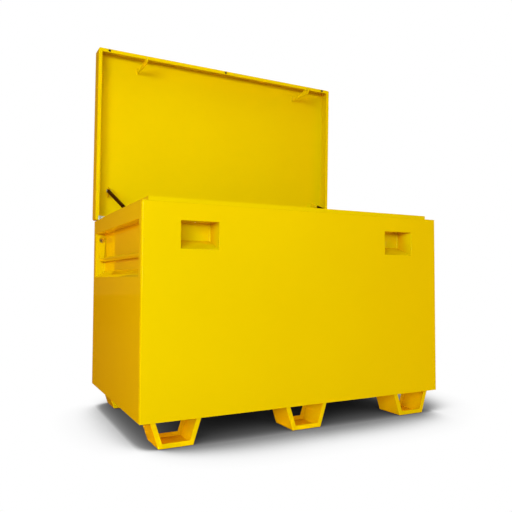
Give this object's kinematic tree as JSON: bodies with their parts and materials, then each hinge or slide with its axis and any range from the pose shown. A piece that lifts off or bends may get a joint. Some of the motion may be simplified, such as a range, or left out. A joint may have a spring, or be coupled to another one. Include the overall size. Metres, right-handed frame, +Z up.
{
  "type": "jobsite storage box",
  "caption": "Large sheet-steel jobsite storage box on channel feet, with a hinged lid held open by gas struts, recessed lock pockets in the front and drop handles recessed in the ends.",
  "frame": {"origin": "on the ground, under the centre of the open box's bounding box", "axes": "+Z up, +X along the box to the right as seen from the front, +Y from the front towards the hinge"},
  "size_m": [1.5, 1.0226, 1.8987],
  "materials": {
    "powder_coat": "glossy yellow powder coat",
    "zinc": "bright zinc plate",
    "rod_steel": "polished",
    "strut_black": "satin black paint",
    "buffer_rubber": "matt black"
  },
  "bodies": {
    "root": {"front_panel": "powder_coat", "rear_panel": "powder_coat", "floor_panel": "powder_coat", "left_end_panel": "powder_coat", "right_end_panel": "powder_coat", "ledge_frame": "powder_coat", "left_handle_recess": "powder_coat", "right_handle_recess": "powder_coat", "left_lock_pocket": "powder_coat", "right_lock_pocket": "powder_coat", "foot_front_left": "powder_coat", "foot_front_middle": "powder_coat", "foot_front_right": "powder_coat", "foot_rear_left": "powder_coat", "foot_rear_middle": "powder_coat", "foot_rear_right": "powder_coat", "left_handle_bolt_front": "zinc", "left_handle_bolt_rear": "zinc", "left_handle_nut_front": "zinc", "left_handle_nut_rear": "zinc", "right_handle_bolt_front": "zinc", "right_handle_bolt_rear": "zinc", "right_handle_nut_front": "zinc", "right_handle_nut_rear": "zinc", "hinge_body_leaf": "zinc", "hinge_pin": "zinc", "left_strut_box_bracket": "powder_coat", "left_strut_box_stud": "zinc", "right_strut_box_bracket": "powder_coat", "right_strut_box_stud": "zinc"},
    "lid": {"lid_shell": "powder_coat", "hinge_lid_leaf": "zinc", "left_lock_lug": "powder_coat", "right_lock_lug": "powder_coat", "lid_buffer_left": "buffer_rubber", "lid_buffer_middle": "buffer_rubber", "lid_buffer_right": "buffer_rubber", "left_strut_lid_bracket": "powder_coat", "left_strut_lid_stud": "zinc", "right_strut_lid_bracket": "powder_coat", "right_strut_lid_stud": "zinc"},
    "left_strut_upper": {"left_strut_tube": "strut_black", "left_strut_upper_eye": "strut_black"},
    "left_strut_lower": {"left_strut_rod": "rod_steel", "left_strut_lower_socket": "strut_black"},
    "right_strut_upper": {"right_strut_tube": "strut_black", "right_strut_upper_eye": "strut_black"},
    "right_strut_lower": {"right_strut_rod": "rod_steel", "right_strut_lower_socket": "strut_black"},
    "left_drop_handle": {"left_handle": "powder_coat"},
    "right_drop_handle": {"right_handle": "powder_coat"}
  },
  "joints": [
    {"name": "lid_hinge", "type": "hinge", "parent": "root", "child": "lid", "pos_m": [0, 0.42623, 0.9593], "axis": [1, 0, 0], "range_deg": [0, 88.5]},
    {"name": "left_strut_pivot", "type": "hinge", "parent": "lid", "child": "left_strut_upper", "pos_m": [-0.675, 0.44279, 1.12879], "axis": [1, 0, 0], "range_deg": [-99.42, 0]},
    {"name": "left_strut_slide", "type": "slide", "parent": "left_strut_upper", "child": "left_strut_lower", "axis": [0, 0.9398, 0.3417], "range_m": [0, 0.2179], "stiffness_N_per_m": 380, "springref_m": -0.79},
    {"name": "right_strut_pivot", "type": "hinge", "parent": "lid", "child": "right_strut_upper", "pos_m": [0.675, 0.44279, 1.12879], "axis": [1, 0, 0], "range_deg": [-99.42, 0]},
    {"name": "right_strut_slide", "type": "slide", "parent": "right_strut_upper", "child": "right_strut_lower", "axis": [0, 0.9398, 0.3417], "range_m": [0, 0.2179], "stiffness_N_per_m": 380, "springref_m": -0.79},
    {"name": "left_handle_swing", "type": "hinge", "parent": "root", "child": "left_drop_handle", "pos_m": [-0.719, 0, 0.853], "axis": [0, 1, 0], "range_deg": [0, 110]},
    {"name": "right_handle_swing", "type": "hinge", "parent": "root", "child": "right_drop_handle", "pos_m": [0.719, 0, 0.853], "axis": [0, -1, 0], "range_deg": [0, 110]}
  ],
  "couplings": [
    {"joint": "left_strut_pivot", "follows": "lid_hinge", "ratio": -1.1234},
    {"joint": "left_strut_slide", "follows": "lid_hinge", "m_per_rad": 0.14104},
    {"joint": "right_strut_pivot", "follows": "lid_hinge", "ratio": -1.1234},
    {"joint": "right_strut_slide", "follows": "lid_hinge", "m_per_rad": 0.14104}
  ]
}
